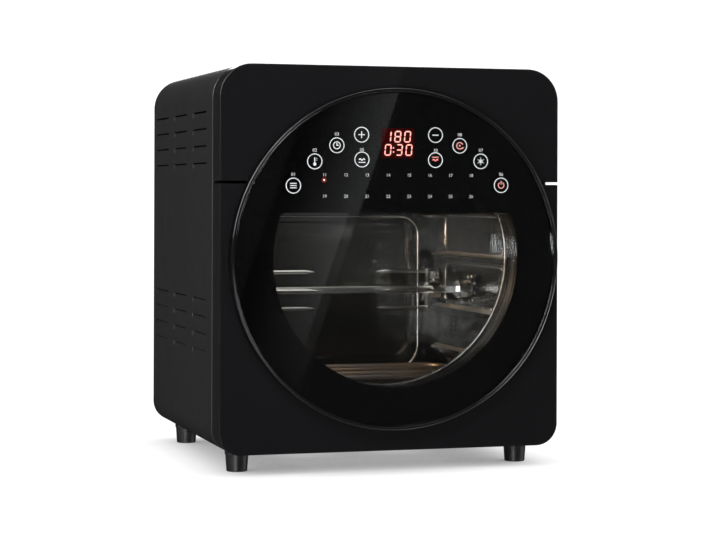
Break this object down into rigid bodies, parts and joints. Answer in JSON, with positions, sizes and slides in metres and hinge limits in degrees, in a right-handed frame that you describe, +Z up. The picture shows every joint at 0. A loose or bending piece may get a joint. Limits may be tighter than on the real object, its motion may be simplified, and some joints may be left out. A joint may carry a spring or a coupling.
{
  "type": "air fryer oven",
  "caption": "Compact countertop air fryer oven with a round glass front disc on a drop-down door, touch controls, fan, heaters, rotisserie and louvred steel casing.",
  "frame": {"origin": "on the surface that the feet stand on, under the middle of the whole box", "axes": "+Z up, the door faces -Y, +X to the right seen from the front"},
  "size_m": [0.325, 0.3282, 0.371],
  "materials": {
    "coated_steel": "satin black powder coat",
    "fascia_gloss": "gloss black moulding",
    "disc_gloss": "high-gloss black",
    "print_black": "black print behind glass with white key symbols",
    "pane_glass": "clear toughened glass",
    "tunnel_steel": "brushed bright steel",
    "liner_steel": "rolled stainless sheet",
    "bright_steel": "polished",
    "zinc_steel": "zinc-plated sheet",
    "motor_steel": "laminated stack with a wound coil",
    "heater_tube": "heat-darkened tube",
    "impeller_aluminium": "pressed sheet",
    "foot": "matt black",
    "black_plastic": "matt",
    "seal_silicone": "matt silicone",
    "ceramic": "unglazed ceramic",
    "bulb_glass": "clear bulb",
    "lamp_glass": "pressed lens",
    "board_green": "solder-masked circuit board",
    "display_lens": "dark red segment display"
  },
  "bodies": {
    "housing": {"foot_front_left": "foot", "foot_front_right": "foot", "foot_rear_left": "foot", "foot_rear_right": "foot", "outer_shell": "coated_steel", "base_plate": "zinc_steel", "rear_panel": "coated_steel", "cord_gland": "black_plastic", "front_frame": "coated_steel", "upper_fascia": "fascia_gloss", "oven_liner": "liner_steel", "liner_back": "liner_steel", "drip_tray": "liner_steel", "bottom_heater": "heater_tube", "heater_support_front": "zinc_steel", "heater_support_rear": "zinc_steel", "fan_chamber": "zinc_steel", "top_heater": "heater_tube", "fan_cover": "liner_steel", "motor_bracket": "zinc_steel", "fan_motor": "motor_steel", "rotisserie_motor": "zinc_steel", "spit_bearing": "bright_steel", "lamp_socket": "ceramic", "lamp_bulb": "bulb_glass", "lamp_lens": "lamp_glass", "temperature_probe": "bright_steel", "thermal_cutout": "ceramic", "board_bracket": "zinc_steel", "power_board": "board_green", "door_sensor": "black_plastic", "hinge_bracket_left": "zinc_steel", "hinge_bracket_right": "zinc_steel", "strike_plate_left": "bright_steel", "strike_plate_right": "bright_steel"},
    "door": {"door_shell": "fascia_gloss", "window_tunnel": "tunnel_steel", "inner_glass": "pane_glass", "inner_panel": "coated_steel", "door_seal": "seal_silicone", "disc_housing": "disc_gloss", "disc_glass": "pane_glass", "printed_film": "print_black", "disc_rim": "disc_gloss", "touch_board": "board_green", "display_module": "display_lens", "hinge_pin_left": "bright_steel", "hinge_pin_right": "bright_steel", "door_magnet_left": "zinc_steel", "door_magnet_right": "zinc_steel"},
    "fan": {"fan_shaft": "bright_steel", "hot_impeller": "impeller_aluminium", "cooling_impeller": "impeller_aluminium"},
    "spit": {"spit_drive": "bright_steel", "spit_shaft": "bright_steel"},
    "fork_left": {"fork_left": "bright_steel"},
    "fork_right": {"fork_right": "bright_steel"},
    "fork_screw_left": {"fork_screw_left": "bright_steel"},
    "fork_screw_right": {"fork_screw_right": "bright_steel"}
  },
  "joints": [
    {"name": "door_hinge", "type": "hinge", "parent": "housing", "child": "door", "pos_m": [0, -0.1321, 0.03375], "axis": [1, 0, 0], "range_deg": [0, 90]},
    {"name": "fan_spin", "type": "hinge", "parent": "housing", "child": "fan", "pos_m": [0, 0.00815, 0.29], "axis": [0, 0, 1], "continuous": true},
    {"name": "spit_spin", "type": "hinge", "parent": "housing", "child": "spit", "pos_m": [0, 0.00815, 0.159], "axis": [1, 0, 0], "continuous": true},
    {"name": "fork_left_slide", "type": "slide", "parent": "spit", "child": "fork_left", "axis": [1, 0, 0], "range_m": [-0.015, 0.025]},
    {"name": "fork_right_slide", "type": "slide", "parent": "spit", "child": "fork_right", "axis": [1, 0, 0], "range_m": [-0.025, 0.015]},
    {"name": "fork_screw_left_turn", "type": "hinge", "parent": "fork_left", "child": "fork_screw_left", "pos_m": [-0.09225, 0.00815, 0.168], "axis": [0, 0, 1], "range_deg": [0, 360]},
    {"name": "fork_screw_right_turn", "type": "hinge", "parent": "fork_right", "child": "fork_screw_right", "pos_m": [0.09225, 0.00815, 0.168], "axis": [0, 0, 1], "range_deg": [0, 360]}
  ]
}
